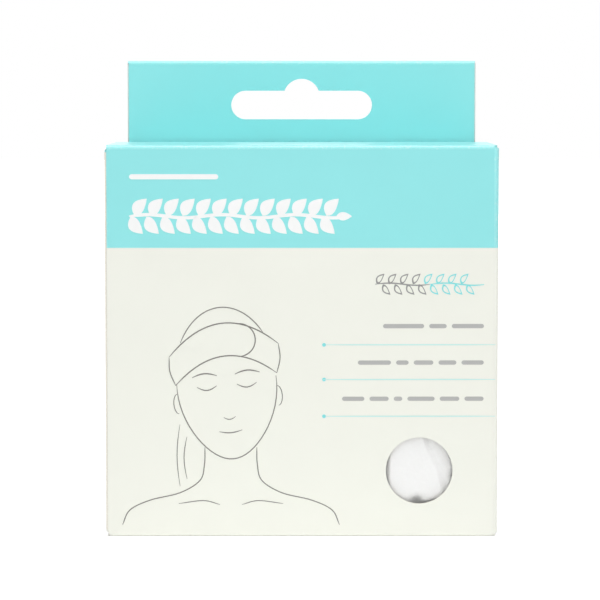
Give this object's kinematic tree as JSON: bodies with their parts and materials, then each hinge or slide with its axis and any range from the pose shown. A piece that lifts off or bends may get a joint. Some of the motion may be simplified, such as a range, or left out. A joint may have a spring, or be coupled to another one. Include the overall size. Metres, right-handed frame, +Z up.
{
  "type": "boxed spa headband",
  "caption": "Folded microfibre wrap headband with a hook-and-loop closure, in a hanging carton with tuck ends and a round window.",
  "frame": {"origin": "middle of the carton's footprint, on the surface it stands on", "axes": "+Z up, -Y out of the printed front, so +X is on the right of someone looking at the front"},
  "size_m": [0.088, 0.038, 0.107],
  "materials": {
    "cream_board": "white folding board printed warm off-white outside with a satin varnish, uncoated inside",
    "turquoise_board": "white folding board printed pale turquoise outside with a satin varnish, uncoated inside",
    "microfibre": "white brushed microfibre fleece, soft and matte",
    "hook_tape": "white moulded nylon hooks on a woven backing",
    "loop_tape": "white brushed nylon loops",
    "label_satin": "white satin weave, blank"
  },
  "bodies": {
    "carton": {"front_panel": "cream_board", "left_side_panel": "cream_board", "right_side_panel": "cream_board", "back_panel": "cream_board", "glue_flap": "cream_board", "hang_tab_front_ply": "turquoise_board"},
    "top_lid": {"top_lid": "turquoise_board"},
    "top_tuck": {"top_tuck_flap": "turquoise_board"},
    "top_dust_left": {"top_dust_flap_left": "turquoise_board"},
    "top_dust_right": {"top_dust_flap_right": "turquoise_board"},
    "bottom_lid": {"bottom_lid": "cream_board"},
    "bottom_tuck": {"bottom_tuck_flap": "cream_board"},
    "bottom_dust_left": {"bottom_dust_flap_left": "cream_board"},
    "bottom_dust_right": {"bottom_dust_flap_right": "cream_board"},
    "headband": {"headband_outer_ply": "microfibre", "headband_inner_ply": "microfibre", "hook_tape": "hook_tape", "loop_tape": "loop_tape", "care_label": "label_satin"}
  },
  "joints": [
    {"name": "top_lid_crease", "type": "hinge", "parent": "carton", "child": "top_lid", "pos_m": [0, -0.019, 0.088], "axis": [1, 0, 0], "range_deg": [0, 250]},
    {"name": "top_tuck_crease", "type": "hinge", "parent": "top_lid", "child": "top_tuck", "pos_m": [0, 0.0171, 0.088], "axis": [1, 0, 0], "range_deg": [0, 75]},
    {"name": "top_dust_left_crease", "type": "hinge", "parent": "carton", "child": "top_dust_left", "pos_m": [-0.044, 0, 0.0872], "axis": [0, -1, 0], "range_deg": [0, 225]},
    {"name": "top_dust_right_crease", "type": "hinge", "parent": "carton", "child": "top_dust_right", "pos_m": [0.044, 0, 0.0872], "axis": [0, 1, 0], "range_deg": [0, 225]},
    {"name": "headband_lift", "type": "slide", "parent": "carton", "child": "headband", "axis": [0, 0, 1], "range_m": [0, 0.0864]},
    {"name": "bottom_lid_crease", "type": "hinge", "parent": "carton", "child": "bottom_lid", "pos_m": [0, -0.019, 0], "axis": [-1, 0, 0], "range_deg": [0, 250]},
    {"name": "bottom_tuck_crease", "type": "hinge", "parent": "bottom_lid", "child": "bottom_tuck", "pos_m": [0, 0.0177, 0], "axis": [-1, 0, 0], "range_deg": [0, 63]},
    {"name": "bottom_dust_left_crease", "type": "hinge", "parent": "carton", "child": "bottom_dust_left", "pos_m": [-0.044, 0, 0.0008], "axis": [0, 1, 0], "range_deg": [0, 225]},
    {"name": "bottom_dust_right_crease", "type": "hinge", "parent": "carton", "child": "bottom_dust_right", "pos_m": [0.044, 0, 0.0008], "axis": [0, -1, 0], "range_deg": [0, 225]}
  ],
  "couplings": [
    {"joint": "top_lid_crease", "follows": "headband_lift", "rad_per_m": 50.5},
    {"joint": "top_tuck_crease", "follows": "headband_lift", "rad_per_m": 15.15},
    {"joint": "top_dust_left_crease", "follows": "headband_lift", "rad_per_m": 45.45},
    {"joint": "top_dust_right_crease", "follows": "headband_lift", "rad_per_m": 45.45},
    {"joint": "bottom_tuck_crease", "follows": "bottom_lid_crease", "ratio": 0.25},
    {"joint": "bottom_dust_left_crease", "follows": "bottom_lid_crease", "ratio": 0.9},
    {"joint": "bottom_dust_right_crease", "follows": "bottom_lid_crease", "ratio": 0.9}
  ]
}
